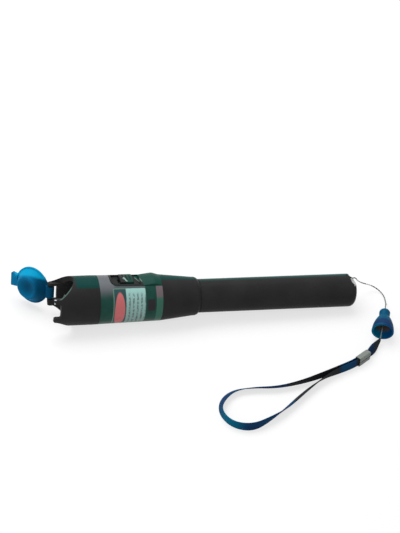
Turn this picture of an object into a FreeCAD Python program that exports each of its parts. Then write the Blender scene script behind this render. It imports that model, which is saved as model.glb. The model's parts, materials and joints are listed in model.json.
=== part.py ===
import FreeCAD, Part
import math
import os

os.makedirs("parts", exist_ok=True)
V = FreeCAD.Vector

# A visual fault locator pen, in millimetres.
# Each piece is drawn in the pen's own frame: X runs along the axis from the
# open nose at 0 to the tail, Z points out through the switch, and Y makes
# the frame right-handed.  The pen is then laid on its side on the floor.

X_AXIS = V(1, 0, 0)
Y_AXIS = V(0, 1, 0)
Z_AXIS = V(0, 0, 1)
ORIGIN = V(0, 0, 0)

# fits
seat_gap = 0.05          # radial gap of a bonded or pressed seat
slide_gap = 0.05         # radial gap where the tail tube slides off
loose_gap = 0.3          # gap round pieces that swing or travel

# head shell
head_r = 13.0
nose_r = 12.85
nose_chamfer = 0.5
nose_swell = 7.0         # length over which the nose swells to head_r
head_straight = 21.0     # where the head starts to narrow
waist_x = 57.6           # end of the label, start of the rear taper
waist_r = 12.3
shoulder_x = 76.0
shoulder_r = 10.3
head_len = 78.6
head_end_r = 9.3
mouth_r = 10.4
mouth_depth = 13.0
mouth_chamfer = 0.6
cavity_r = 10.0
cavity_end = 57.5
throat_x = 66.0
throat_r = 8.0

# nose cut-outs
upper_scallop_r = 11.4
lower_scallop_r = 10.8
upper_ledge = 6.0
lower_ledge = 6.6
tab_notch_depth = 3.4
tab_notch_half = 4.0
tab_notch_corner = 0.7

# cap pivot: a bar moulded across a window in the far horn
pivot_x = 1.4
pivot_y = 11.7
pivot_r = 1.15
pivot_half = 4.0         # half width of the window
window_end = 4.8

# label
label_x0 = 24.2
label_t = 0.18
label_sink = 0.25        # depth of the shallow seat round the head

# switch
bezel_x0 = 30.3
bezel_half = 6.5
bezel_corner = 3.6
bezel_floor = 10.5
bezel_bottom = 8.4
bezel_rim = 1.0
recess_end = 46.3
hump_x0 = 46.8
hump_peak = 53.7
hump_r = 13.35
knob_x = 39.2
knob_len = 7.0
knob_half = 4.7
knob_r = 13.0
knob_neck = 3.0
knob_groove = 0.6
knob_travel = 2.5
lever_len = 2.0
lever_wide = 1.6
lever_top = 9.6

# optics
plate_t = 3.0
adapter_x = 7.2
adapter_nose_r = 3.4
adapter_flange_r = 5.5
adapter_flange_t = 1.6
adapter_shank_r = 4.0
adapter_end = 20.4
nut_t = 2.2
nut_flats = 10.0
sleeve_r = 1.8
sleeve_bore_r = 1.26
sleeve_x = 7.6
sleeve_len = 10.8
light_hole_r = 0.8
laser_r = 6.0
laser_end = 32.2
lens_seat_r = 4.2
lens_x = 22.5
lens_cell_len = 4.0
lens_r = 2.5
lens_t = 1.6
lens_bulge = 0.5
holder_len = 3.6
diode_flange_r = 2.8
diode_flange_t = 1.2
diode_can_r = 1.8
diode_can_len = 2.4
diode_pin_r = 0.22
diode_pin_len = 5.0

# electronics
board_half = 6.8
board_z = 1.4
board_t = 1.6
board_end = 56.0
switch_len = 12.0
switch_half = 3.3
switch_h = 4.0
switch_wall = 0.4
switch_base_t = 1.2
lever_plate_half = 1.8
lever_plate_t = 1.2
chip_x = 47.2
chip_len = 5.0
chip_half = 2.0
chip_t = 1.6
chip_pitch = 1.27
chip_leg = 0.4
chip_reach = 3.0         # how far the legs stand from the middle line
resistor_x = 53.6
resistor_pitch = 3.2
resistor_len = 1.7
resistor_wide = 0.9
resistor_t = 0.5
coil_x = 44.0
coil_side = 5.0
coil_t = 2.4
carrier_r = 9.8
carrier_t = 1.6
contact_r = 4.0
contact_t = 0.6

# battery cells
cell_r = 7.2
cell_len = 50.5
nub_r = 2.75
nub_len = 1.0

# threaded collar, seal and tail tube
collar_depth = 8.8       # how far it sits inside the head
collar_seat_r = 8.5
collar_r = 8.2
collar_bore_r = 7.5
collar_out = 9.6         # how far it stands out of the head
seal_t = 0.6
seal_wide = 0.6
tail_r = 9.0
tail_bore_r = 7.6
tail_round = 3.2
end_wall = 4.6
spring_wire_r = 0.35
wire_facets = 8          # thin wire and string are drawn with a few flat sides
spring_small_r = 3.0
spring_big_r = 6.4
spring_room = 3.2        # space the spring fills behind the cells
spring_turns = 3
spring_steps = 6         # points of the wire's route in each turn

# lanyard notch
notch_depth = 3.3        # how far it reaches forward from the tail's end
notch_top = 7.7
notch_bottom = 5.8
string_hole_r = 0.6
bridge_len = 2.2         # bridge left between the hole's mouth and the notch

# dust cap, drawn shut and then swung open
cap_flange_r = 10.1
cap_flange_x = 0.2
cap_flange_t = 1.3
cap_dome = 0.8
plug_r = 9.3
plug_end_r = 6.4
plug_len = 4.9
plug_dish = 1.6
plug_lip = 1.2
cap_tab_len = 3.1
cap_tab_half = 3.75      # half width at the tab's outer end
cap_tab_root = 3.3       # half width where it leaves the flange
cap_tab_t = 2.0
cap_tab_corner = 0.4
loop_r = 2.3
loop_half = 3.2
neck_reach = 3.0         # how far the neck runs on to the disc
neck_half = 6.9
cap_open_deg = 135.0

# how the pen lies: the switch leans back and the head and tail touch down
lean_deg = 8.5

# wrist strap: string, bell, ribbon and crimp
string_r = 0.5
ribbon_wide = 4.4
ribbon_t = 0.8
ribbon_z = 2.55          # height of the ribbon's centre line, as it stands on edge
tab_t = 1.6              # the tape of the short end, folded in two
tab_point_t = 1.0        # its thickness where it comes to a point
tab_point_wide = 2.2
bell_len = 15.5
bell_mouth_r = 5.95
bell_neck_r = 2.95
bell_neck_x = 5.0
bell_pinch = 0.15
bell_crown_x = 2.2
bell_top_r = 1.3
bell_flare = 0.75        # how far the skirt bulges out between neck and mouth
bell_wall = 0.9
bell_eye_r = 0.8
crimp_len = 9.0
crimp_t = 0.3
crimp_slack = 0.35
crimp_fold = 0.25        # room between the two runs of tape
crimp_corner = 0.6
crimp_seam = 0.5

# the strap's places in the finished frame, chosen by hand
string_route = [
    V(87.99, -7.34, 17.83),
    V(90.63, -7.63, 15.79),
    V(93.5, -5.4, 14.8),
    V(96.2, -3.2, 10.7),
    V(100.8, -0.2, 6.7),
    V(107.2, 2.7, 3.1),
    V(112.1, 0.9, 1.0),
    V(113.4, -4.6, 0.8),
    V(112.5, -12.0, 1.4),
    V(109.8, -20.0, 5.2),
    V(105.3, -25.0, 10.0),
    V(101.0, -36.0, 7.6),
    V(96.55, -45.65, 2.75),
]
bell_mouth = V(98.0, -43.7, 5.85)
bell_top = V(103.5, -29.6, 9.0)
crimp_front = V(85.5, -58.1, ribbon_z)
crimp_rear = V(77.9, -63.6, ribbon_z)
ribbon_route = [
    V(83.7, -58.6, ribbon_z),
    V(76.9, -63.4, ribbon_z),
    V(67.8, -67.5, ribbon_z),
    V(56.3, -72.2, ribbon_z),
    V(43.4, -76.4, ribbon_z),
    V(30.4, -78.5, ribbon_z),
    V(18.6, -76.9, ribbon_z),
    V(7.9, -77.6, ribbon_z),
    V(0.2, -84.6, ribbon_z),
    V(-3.4, -95.1, ribbon_z),
    V(0.4, -105.0, ribbon_z),
    V(9.9, -108.4, ribbon_z),
    V(19.9, -103.3, ribbon_z),
    V(30.6, -95.5, ribbon_z),
    V(44.0, -83.2, ribbon_z),
    V(56.9, -73.5, ribbon_z),
    V(68.4, -68.7, ribbon_z),
    V(77.8, -64.6, ribbon_z),
    V(84.5, -59.8, ribbon_z),
]
tab_route = [
    V(84.6, -58.8, ribbon_z),
    V(88.4, -55.5, ribbon_z),
    V(92.0, -51.4, ribbon_z),
    V(96.3, -46.2, ribbon_z),
]


def head_radius(x):
    """Radius of the head's outer skin along its label."""
    share = (x - head_straight) / (waist_x - head_straight)
    return head_r + (waist_r - head_r) * share


def turned(points):
    """Solid turned about X from (x, radius) corners that start and end on the axis."""
    corners = [V(x, 0, r) for x, r in points]
    wire = Part.makePolygon(corners + [corners[0]])
    return Part.Face(wire).revolve(ORIGIN, X_AXIS, 360)


def crown(rim, apex_x):
    """Circular arc from a rim (x, 0, radius) up to its apex on the axis."""
    rise = apex_x - rim.x
    ball_r = (rise * rise + rim.z * rim.z) / (2 * rise)
    middle = math.asin(rim.z / ball_r) / 2
    mid = V(apex_x - ball_r * (1 - math.cos(middle)), 0, abs(ball_r * math.sin(middle)))
    return Part.Arc(rim, mid, V(apex_x, 0, 0)).toShape()


def rod(x0, x1, r):
    """Cylinder along X."""
    return Part.makeCylinder(r, x1 - x0, V(x0, 0, 0), X_AXIS)


def ring(x0, x1, r_out, r_in):
    """Washer or sleeve along X."""
    return rod(x0, x1, r_out).cut(rod(x0, x1, r_in))


def block(x0, x1, half, z0, z1):
    """Box between two X stations, centred across Y."""
    return Part.makeBox(x1 - x0, 2 * half, z1 - z0, V(x0, -half, z0))


def tongue(x0, x1, half, corner, z0, z1):
    """Upright prism with rounded front corners and a square rear end."""
    near = V(x0 + corner, -half, z0)
    far = V(x0 + corner, half, z0)
    diag = corner * (1 - math.sqrt(0.5))
    edges = [
        Part.LineSegment(V(x1, -half, z0), near).toShape(),
        Part.Arc(near, V(x0 + diag, diag - half, z0), V(x0, corner - half, z0)).toShape(),
        Part.LineSegment(V(x0, corner - half, z0), V(x0, half - corner, z0)).toShape(),
        Part.Arc(V(x0, half - corner, z0), V(x0 + diag, half - diag, z0), far).toShape(),
        Part.LineSegment(far, V(x1, half, z0)).toShape(),
        Part.LineSegment(V(x1, half, z0), V(x1, -half, z0)).toShape(),
    ]
    return Part.Face(Part.Wire(edges)).extrude(V(0, 0, z1 - z0))


def head_outer():
    """Outer form of the head, with the label's shallow seat."""
    label_start = label_x0 - seat_gap
    sunk_start = head_radius(label_start) - label_sink
    corners = [
        V(0, 0, 0),
        V(0, 0, nose_r - nose_chamfer),
        V(nose_chamfer, 0, nose_r),
        V(nose_swell, 0, head_r),
        V(head_straight, 0, head_r),
        V(label_start, 0, head_radius(label_start)),
        V(label_start, 0, sunk_start),
        V(waist_x, 0, waist_r - label_sink),
        V(waist_x, 0, waist_r),
        V(shoulder_x, 0, shoulder_r),
    ]
    round_mid = V(
        head_len - 0.3 * (head_len - shoulder_x), 0, shoulder_r - 0.35 * (shoulder_r - head_end_r)
    )
    edges = [Part.LineSegment(a, b).toShape() for a, b in zip(corners, corners[1:])]
    edges.append(Part.Arc(corners[-1], round_mid, V(head_len, 0, head_end_r)).toShape())
    edges.append(Part.LineSegment(V(head_len, 0, head_end_r), V(head_len, 0, 0)).toShape())
    edges.append(Part.LineSegment(V(head_len, 0, 0), ORIGIN).toShape())
    return Part.Face(Part.Wire(edges)).revolve(ORIGIN, X_AXIS, 360)


def head_hollow():
    """Stepped bore of the head, from the mouth to the collar's seat."""
    plate_end = mouth_depth + plate_t
    return turned([
        (-1, 0),
        (-1, mouth_r + mouth_chamfer),
        (0, mouth_r + mouth_chamfer),
        (1.5 * mouth_chamfer, mouth_r),
        (plate_end, mouth_r),
        (plate_end, cavity_r),
        (cavity_end, cavity_r),
        (throat_x, throat_r),
        (collar_start(), throat_r),
        (collar_start(), collar_seat_r + seat_gap),
        (head_len + 1, collar_seat_r + seat_gap),
        (head_len + 1, 0),
    ])


def scallop(r, ledge, side):
    """Round bite out of the nose, above or below a ledge."""
    base = ledge if side > 0 else -ledge
    return Part.makeCylinder(r, 2 * head_r, V(0, 0, base), Z_AXIS * side)


def tab_notch():
    """Notch in the near horn that the cap's tab drops into."""
    inner_y = 2 - mouth_r
    corner = V(-1, inner_y - head_r, -tab_notch_half)
    notch = Part.makeBox(tab_notch_depth + 1, head_r, 2 * tab_notch_half, corner)
    floor = [e for e in notch.Edges if abs(e.CenterOfMass.x - tab_notch_depth) < 0.01]
    inner = [e for e in floor if abs(abs(e.CenterOfMass.z) - tab_notch_half) < 0.01]
    return notch.makeFillet(tab_notch_corner, inner)


def pivot_window():
    """Window through the far horn round the cap's pivot bar."""
    inner = pivot_y - loop_r - loose_gap
    return Part.makeBox(window_end + 2, head_r, 2 * pivot_half, V(-2, inner, -pivot_half))


def bezel_window():
    return tongue(
        bezel_x0 - seat_gap, waist_x + seat_gap, bezel_half + seat_gap, bezel_corner, 0, 2 * head_r
    )


def head_shell():
    """One-piece moulded head: horned nose, cavity, switch window and collar seat."""
    shell = head_outer().cut(head_hollow())
    shell = shell.cut(scallop(upper_scallop_r, upper_ledge, 1))
    shell = shell.cut(scallop(lower_scallop_r, lower_ledge, -1))
    shell = shell.cut(tab_notch())
    shell = shell.cut(pivot_window())
    shell = shell.cut(bezel_window())
    bar_half = pivot_half + 0.4
    bar = Part.makeCylinder(pivot_r, 2 * bar_half, V(pivot_x, pivot_y, -bar_half), Z_AXIS)
    return shell.fuse(bar).removeSplitter()


def wrap_label():
    """Printed film round the head, open where the switch bezel comes through."""
    x1 = waist_x - seat_gap
    inner_drop = label_sink - seat_gap
    outer_drop = inner_drop - label_t
    film = turned([
        (label_x0, 0),
        (label_x0, head_radius(label_x0) - outer_drop),
        (x1, head_radius(x1) - outer_drop),
        (x1, 0),
    ])
    core = turned([
        (label_x0 - 1, 0),
        (label_x0 - 1, head_radius(label_x0 - 1) - inner_drop),
        (x1 + 1, head_radius(x1 + 1) - inner_drop),
        (x1 + 1, 0),
    ])
    gap = 4 * seat_gap
    opening = tongue(bezel_x0 - gap, x1 + 1, bezel_half + gap, bezel_corner, 0, 2 * head_r)
    return film.cut(core).cut(opening)


def switch_bezel():
    """Insert that frames the slide switch, with a thumb hump behind it."""
    body = tongue(bezel_x0, waist_x, bezel_half, bezel_corner, bezel_bottom, 2 * head_r)
    crown = turned([
        (bezel_x0 - 1, 0),
        (bezel_x0 - 1, head_radius(bezel_x0 - 1)),
        (hump_x0, head_radius(hump_x0)),
        (hump_peak - 1.2, hump_r - 0.12),
        (hump_peak, hump_r),
        (hump_peak + 1.0, hump_r - 0.15),
        (waist_x, head_radius(waist_x)),
        (waist_x + 1, 0),
    ])
    recess = tongue(
        bezel_x0 + bezel_rim, recess_end, bezel_half - bezel_rim, bezel_corner - bezel_rim,
        bezel_floor, 2 * head_r,
    )
    slot_half = knob_neck / 2 + knob_travel + loose_gap
    slot = block(
        knob_x - slot_half, knob_x + slot_half, knob_neck / 2 + loose_gap, bezel_bottom - 1, bezel_floor + 1
    )
    return body.common(crown).cut(recess).cut(slot)


def power_knob():
    """Ribbed thumb knob on the slide switch's lever."""
    foot = bezel_floor + 0.1
    half_len = knob_len / 2
    cap = block(knob_x - half_len, knob_x + half_len, knob_half, foot, knob_r)
    cap = cap.common(rod(knob_x - knob_len, knob_x + knob_len, knob_r))
    upper = [e for e in cap.Edges if e.BoundBox.ZMin > foot + 0.5]
    cap = cap.makeFillet(0.35, upper)
    for step in (-1, 0, 1):
        x = knob_x + step * knob_len / 4
        groove = block(x - knob_groove / 2, x + knob_groove / 2, knob_half + 1, knob_r - 0.6, knob_r + 1)
        cap = cap.cut(groove)
    neck_z = bezel_bottom - 0.5
    neck = block(knob_x - knob_neck / 2, knob_x + knob_neck / 2, knob_neck / 2, neck_z, foot)
    pocket = block(
        knob_x - lever_len / 2 - seat_gap, knob_x + lever_len / 2 + seat_gap,
        lever_wide / 2 + seat_gap, neck_z - 1, lever_top + seat_gap,
    )
    return cap.fuse(neck).removeSplitter().cut(pocket)


def switch_lever():
    """Lever of the slide switch, with its plate inside the can."""
    plate_z = board_z + board_t + switch_h - switch_wall - lever_plate_t - 4 * slide_gap
    plate = block(
        knob_x - lever_plate_half, knob_x + lever_plate_half,
        switch_half - switch_wall - 4 * slide_gap, plate_z, plate_z + lever_plate_t,
    )
    stem = block(knob_x - lever_len / 2, knob_x + lever_len / 2, lever_wide / 2, plate_z, lever_top)
    return plate.fuse(stem).removeSplitter()


def switch_can():
    """Folded metal can of the slide switch, open below."""
    z0 = board_z + board_t
    x0 = knob_x - switch_len / 2
    x1 = knob_x + switch_len / 2
    shell = block(x0, x1, switch_half, z0, z0 + switch_h)
    top = z0 + switch_h
    shell = shell.makeFillet(switch_wall, [e for e in shell.Edges if e.BoundBox.ZMin > top - 0.1])
    inside = block(x0 + switch_wall, x1 - switch_wall, switch_half - switch_wall, z0 - 1, top - switch_wall)
    slot_half = lever_len / 2 + knob_travel + loose_gap
    slot = block(knob_x - slot_half, knob_x + slot_half, lever_wide / 2 + loose_gap, z0 + 1, top + 1)
    return shell.cut(inside).cut(slot)


def switch_base():
    """Insulating base that closes the can from below."""
    z0 = board_z + board_t
    inset = switch_wall + seat_gap
    half_len = switch_len / 2 - inset
    return block(knob_x - half_len, knob_x + half_len, switch_half - inset, z0, z0 + switch_base_t)


def nose_plate():
    """Round plate that closes the mouth and carries the ferrule adapter."""
    return ring(mouth_depth, mouth_depth + plate_t, mouth_r - seat_gap, adapter_shank_r + seat_gap)


def ferrule_adapter():
    """Turned metal adapter: nose, flange and the shank through the plate."""
    flange_x = mouth_depth - adapter_flange_t
    body = turned([
        (adapter_x, 0),
        (adapter_x, adapter_nose_r - 0.3),
        (adapter_x + 0.3, adapter_nose_r),
        (flange_x, adapter_nose_r),
        (flange_x, adapter_flange_r - 0.2),
        (flange_x + 0.2, adapter_flange_r),
        (mouth_depth, adapter_flange_r),
        (mouth_depth, adapter_shank_r),
        (adapter_end, adapter_shank_r),
        (adapter_end, 0),
    ])
    sleeve_end = sleeve_x + sleeve_len
    body = body.cut(rod(adapter_x - 1, sleeve_end, sleeve_r + seat_gap / 2))
    return body.cut(rod(sleeve_end - 1, adapter_end + 1, light_hole_r))


def ferrule_sleeve():
    """Ceramic sleeve that takes a 2.5 mm ferrule."""
    return ring(sleeve_x, sleeve_x + sleeve_len, sleeve_r, sleeve_bore_r)


def adapter_nut():
    """Hexagon nut that clamps the adapter from behind the plate."""
    x0 = mouth_depth + plate_t
    corner_r = nut_flats / math.sqrt(3)
    corners = [
        V(x0, corner_r * math.cos(math.radians(60 * k)), corner_r * math.sin(math.radians(60 * k)))
        for k in range(7)
    ]
    nut = Part.Face(Part.makePolygon(corners)).extrude(V(nut_t, 0, 0))
    return nut.cut(rod(x0 - 1, x0 + nut_t + 1, adapter_shank_r + seat_gap))


def laser_housing():
    """Brass barrel of the laser module, screwed on the adapter's shank."""
    x0 = mouth_depth + plate_t + nut_t
    spigot_end = adapter_end + 0.2
    lens_seat = lens_x - 0.7
    body = turned([
        (x0, 0),
        (x0, laser_r - 0.3),
        (x0 + 0.3, laser_r),
        (laser_end, laser_r),
        (laser_end, 0),
    ])
    body = body.cut(rod(x0 - 1, spigot_end, adapter_shank_r + seat_gap))
    body = body.cut(rod(spigot_end - 1, laser_end, 1.5 * light_hole_r))
    return body.cut(rod(lens_seat, laser_end + 1, lens_seat_r))


def lens_cell():
    """Small ring that holds the focusing lens."""
    cell = ring(lens_x, lens_x + lens_cell_len, lens_seat_r - seat_gap, lens_r - 0.4)
    return cell.cut(rod(lens_x + 1, lens_x + lens_cell_len, lens_r + seat_gap))


def focusing_lens():
    """Plano-convex lens, with its curved side forward."""
    x0 = lens_x + 1.0
    rim = V(x0 + lens_bulge, 0, lens_r)
    apex = V(x0, 0, 0)
    back = V(x0 + lens_t, 0, 0)
    edge = V(x0 + lens_t, 0, lens_r)
    edges = [crown(rim, x0)]
    edges += [Part.LineSegment(a, b).toShape() for a, b in ((apex, back), (back, edge), (edge, rim))]
    return Part.Face(Part.Wire(edges)).revolve(ORIGIN, X_AXIS, 360)


def diode_holder():
    """Ring pressed into the back of the housing round the laser diode."""
    x0 = laser_end - holder_len
    body = ring(x0, laser_end, lens_seat_r - seat_gap, diode_can_r + 2 * seat_gap)
    return body.cut(rod(x0 + 1.2, laser_end, diode_flange_r + seat_gap))


def laser_diode():
    """Laser diode: can, flange and three pins."""
    flange_x = laser_end - holder_len + 1.2
    can = rod(flange_x - diode_can_len, flange_x + diode_flange_t, diode_can_r)
    body = can.fuse(rod(flange_x, flange_x + diode_flange_t, diode_flange_r))
    pin_x = flange_x + diode_flange_t - 0.2
    for y, z in ((0, board_z - diode_pin_r), (-1.15, -0.75), (1.15, -0.75)):
        body = body.fuse(Part.makeCylinder(diode_pin_r, diode_pin_len, V(pin_x, y, z), X_AXIS))
    return body.removeSplitter()


def circuit_board():
    return block(laser_end, board_end, board_half, board_z, board_z + board_t)


def driver_chip():
    """Eight-leg driver chip behind the switch."""
    z0 = board_z + board_t
    body = block(chip_x, chip_x + chip_len, chip_half, z0 + 0.15, z0 + chip_t)
    first = chip_x + (chip_len - 3 * chip_pitch - chip_leg) / 2
    for k in range(4):
        x = first + k * chip_pitch
        body = body.fuse(block(x, x + chip_leg, chip_reach, z0, z0 + 0.5))
    return body.removeSplitter()


def chip_resistors():
    """Four chip resistors in a row at the rear of the board."""
    z0 = board_z + board_t
    rows = [(k - 1.5) * resistor_pitch - resistor_len / 2 for k in range(4)]
    return [Part.makeBox(resistor_wide, resistor_len, resistor_t, V(resistor_x, y, z0)) for y in rows]


def power_coil():
    """Square power coil under the board."""
    coil = block(coil_x, coil_x + coil_side, coil_side / 2, board_z - coil_t, board_z)
    return coil.makeFillet(0.8, [e for e in coil.Edges if abs(e.tangentAt(0).z) > 0.9])


def contact_carrier():
    """Insulating disc between the board and the cells, flat where it passes under the bezel."""
    x1 = board_end + carrier_t
    disc = rod(board_end, x1, carrier_r)
    return disc.cut(block(board_end - 1, x1 + 1, carrier_r, bezel_bottom - seat_gap, carrier_r + 1))


def front_contact():
    """Pressed metal contact for the front cell's nub."""
    x0 = board_end + carrier_t
    return rod(x0, x0 + contact_t, contact_r)


def cells_start():
    return board_end + carrier_t + contact_t


def cells_end():
    return cells_start() + 2 * cell_len


def tail_end():
    """Outer face of the tail tube's closed end."""
    return cells_end() + spring_room + end_wall


def collar_start():
    return head_len - collar_depth


def battery_cell(x0):
    """AA cell with its nub towards the nose."""
    return turned([
        (x0, 0),
        (x0, nub_r),
        (x0 + nub_len, nub_r),
        (x0 + nub_len, cell_r - 0.5),
        (x0 + nub_len + 0.5, cell_r),
        (x0 + cell_len - 0.4, cell_r),
        (x0 + cell_len, cell_r - 0.4),
        (x0 + cell_len, 0),
    ])


def threaded_collar():
    """Metal ring bonded into the head, which the tail tube screws on to."""
    x0 = collar_start()
    end = head_len + collar_out
    body = turned([
        (x0, 0),
        (x0, collar_seat_r),
        (head_len, collar_seat_r),
        (head_len, collar_r),
        (end - 0.5, collar_r),
        (end, collar_r - 0.5),
        (end, 0),
    ])
    return body.cut(rod(x0 - 1, end + 1, collar_bore_r))


def tail_start():
    return head_len + seal_t


def seal_ring():
    """Flat rubber ring squeezed between the head and the tail tube."""
    r_in = collar_r + slide_gap
    return ring(head_len, tail_start(), r_in + seal_wide, r_in)


def tail_tube():
    """Drawn tube with a rounded closed end, a lanyard notch and its string hole."""
    x0 = tail_start()
    x1 = tail_end()
    round_x = x1 - tail_round
    round_r = tail_r - tail_round
    diag = tail_round * math.sqrt(0.5)
    corners = [V(x0, 0, 0), V(x0, 0, tail_r - 0.3), V(x0 + 0.3, 0, tail_r), V(round_x, 0, tail_r)]
    edges = [Part.LineSegment(a, b).toShape() for a, b in zip(corners, corners[1:])]
    edges.append(
        Part.Arc(corners[-1], V(round_x + diag, 0, round_r + diag), V(x1, 0, round_r)).toShape()
    )
    edges.append(Part.LineSegment(V(x1, 0, round_r), V(x1, 0, 0)).toShape())
    edges.append(Part.LineSegment(V(x1, 0, 0), corners[0]).toShape())
    tube = Part.Face(Part.Wire(edges)).revolve(ORIGIN, X_AXIS, 360)
    tube = tube.cut(rod(x0 - 1, head_len + collar_out + 0.7, collar_r + slide_gap))
    tube = tube.cut(rod(x0, x1 - end_wall, tail_bore_r))
    return tube.cut(lanyard_notch()).cut(string_hole())


def lanyard_notch():
    """Notch across the top of the tail's end, with a hollowed floor."""
    near = tail_end() - notch_depth
    far = tail_end() + 1
    above = tail_r + 1
    floor_mid = V(near + 0.3 * (far - near), 0, notch_bottom + 0.35 * (notch_top - notch_bottom))
    edges = [
        Part.LineSegment(V(near, 0, above), V(near, 0, notch_top)).toShape(),
        Part.Arc(V(near, 0, notch_top), floor_mid, V(far, 0, notch_bottom)).toShape(),
        Part.LineSegment(V(far, 0, notch_bottom), V(far, 0, above)).toShape(),
        Part.LineSegment(V(far, 0, above), V(near, 0, above)).toShape(),
    ]
    half = V(0, -tail_r, 0)
    return Part.Face(Part.Wire(edges)).extrude(V(0, 2 * tail_r, 0)).translated(half)


def string_hole():
    """Slanted hole from the tube's skin down into the notch, which leaves a bridge."""
    notch_x = tail_end() - notch_depth
    start = V(notch_x - bridge_len, 0, tail_r + 1.5 * string_hole_r)
    end = V(notch_x + 0.8, 0, notch_top)
    way = end - start
    return Part.makeCylinder(string_hole_r, way.Length, start, way)


def tail_spring():
    """Conical spring wound against the tube's closed end."""
    front = cells_end() + spring_wire_r
    length = spring_room - 2 * spring_wire_r
    steps = spring_turns * spring_steps
    points = []
    for k in range(steps + 1):
        share = k / steps
        r = spring_small_r + (spring_big_r - spring_small_r) * share
        angle = 2 * math.pi * k / spring_steps
        points.append(V(front + length * share, r * math.cos(angle), r * math.sin(angle)))
    return swept("spring", points, facets(points[0], points[1] - points[0], spring_wire_r, wire_facets))


def cap_disc():
    """Flange and tapered plug of the cap, turned about the pen's axis."""
    back_x = cap_flange_x + cap_flange_t
    tip_x = back_x + plug_len
    rim_r = plug_end_r - plug_lip
    corner = 0.5
    points = [
        V(cap_flange_x, 0, cap_flange_r - 0.4),
        V(cap_flange_x + 0.4, 0, cap_flange_r),
        V(back_x, 0, cap_flange_r),
        V(back_x, 0, plug_r),
        V(tip_x - corner, 0, plug_end_r),
        V(tip_x, 0, plug_end_r - corner),
        V(tip_x, 0, rim_r),
    ]
    face_x = cap_flange_x - cap_dome
    dish_x = tip_x - plug_dish
    edges = [Part.LineSegment(a, b).toShape() for a, b in zip(points, points[1:])]
    edges.append(crown(points[-1], dish_x))
    edges.append(Part.LineSegment(V(dish_x, 0, 0), V(face_x, 0, 0)).toShape())
    edges.append(crown(points[0], face_x))
    return Part.Face(Part.Wire(Part.sortEdges(edges)[0])).revolve(ORIGIN, X_AXIS, 360)


def cap_tab():
    """Finger tab on the near side of the flange, a little wider at its outer end."""
    outer = -cap_flange_r - cap_tab_len
    root = 1 - cap_flange_r
    corners = [
        V(cap_flange_x, root, -cap_tab_root), V(cap_flange_x, outer, -cap_tab_half),
        V(cap_flange_x, outer, cap_tab_half), V(cap_flange_x, root, cap_tab_root),
    ]
    tab = Part.Face(Part.makePolygon(corners + [corners[0]])).extrude(V(cap_tab_t, 0, 0))
    tips = [e for e in tab.Edges if e.BoundBox.YMax < outer + 0.1 and e.BoundBox.XLength > 0.5]
    return tab.makeFillet(cap_tab_corner, tips)


def cap_neck():
    """Flat neck that widens from the loop into the flange."""
    y0 = pivot_y - 1.5
    y1 = y0 - neck_reach
    z0 = loop_half - 0.2
    corners = [V(0, y0, -z0), V(0, y0, z0), V(0, y1, neck_half), V(0, y1, -neck_half)]
    face = Part.Face(Part.makePolygon(corners + [corners[0]]))
    return face.extrude(V(cap_flange_t, 0, 0)).translated(V(cap_flange_x, 0, 0))


def dust_cap():
    """One rubber moulding: plug, flange, tab, neck and the loop on the pivot bar."""
    loop = Part.makeCylinder(loop_r, 2 * loop_half, V(pivot_x, pivot_y, -loop_half), Z_AXIS)
    eye = Part.makeCylinder(
        pivot_r + loose_gap, 2 * loop_half + 2, V(pivot_x, pivot_y, -loop_half - 1), Z_AXIS
    )
    cap = cap_disc().fuse([cap_tab(), cap_neck(), loop]).removeSplitter().cut(eye)
    cap.rotate(V(pivot_x, pivot_y, 0), Z_AXIS, -cap_open_deg)
    return cap


def lay_down(shape):
    """Turn a pen piece so that the head's waist and the tail's end both touch the floor."""
    run = tail_end() - tail_round - waist_x
    dip = math.degrees(math.atan((waist_r - tail_r) / run))
    laid = shape.copy()
    laid.rotate(ORIGIN, X_AXIS, -lean_deg)
    laid.rotate(ORIGIN, Y_AXIS, dip)
    return laid


def rounded_route(points):
    """Straight runs joined by tangent arcs, and the arcs' radii."""
    edges = []
    radii = []
    start = points[0]
    for before, corner, after in zip(points, points[1:], points[2:]):
        back = (before - corner).normalize()
        ahead = (after - corner).normalize()
        half_turn = (math.pi - back.getAngle(ahead)) / 2
        cut = 0.45 * min((before - corner).Length, (after - corner).Length)
        radius = cut / math.tan(half_turn)
        inward = (back + ahead).normalize()
        arc_start = corner + back * cut
        arc_end = corner + ahead * cut
        arc_mid = corner + inward * (radius / math.cos(half_turn) - radius)
        edges.append(Part.LineSegment(start, arc_start).toShape())
        edges.append(Part.Arc(arc_start, arc_mid, arc_end).toShape())
        radii.append(radius)
        start = arc_end
    edges.append(Part.LineSegment(start, points[-1]).toShape())
    return Part.Wire(edges), radii


def facets(centre, ahead, r, count):
    """Regular polygon round a route's start, used as the section of a thin wire."""
    side = ahead.cross(Z_AXIS).normalize()
    lift = side.cross(ahead).normalize()
    turns = [2 * math.pi * k / count for k in range(count)]
    corners = [centre + side * (r * math.cos(a)) + lift * (r * math.sin(a)) for a in turns]
    return Part.makePolygon(corners + [corners[0]])


def swept(name, points, section):
    """Cord along a route, with its radii, length and volume printed."""
    route, radii = rounded_route(points)
    solid = route.makePipeShell([section], True, False)
    share = solid.Volume / (Part.Face(section).Area * route.Length)
    print(name, "radii", [round(r, 1) for r in radii])
    print(name, "length", round(route.Length, 1), "volume share", round(share, 4))
    return solid


def strap_string():
    """Double string drawn as one cord, from the bridge through the bell to the folded end."""
    section = facets(string_route[0], string_route[1] - string_route[0], string_r, wire_facets)
    return swept("string", string_route, section)


def on_edge(start, ahead, thick, wide):
    """Section of a flat tape that stands on edge, square to its way ahead."""
    across = Z_AXIS.cross(ahead).normalize() * (thick / 2)
    up = Z_AXIS * (wide / 2)
    corners = [start - across - up, start + across - up, start + across + up, start - across + up]
    return Part.makePolygon(corners + [corners[0]])


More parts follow.
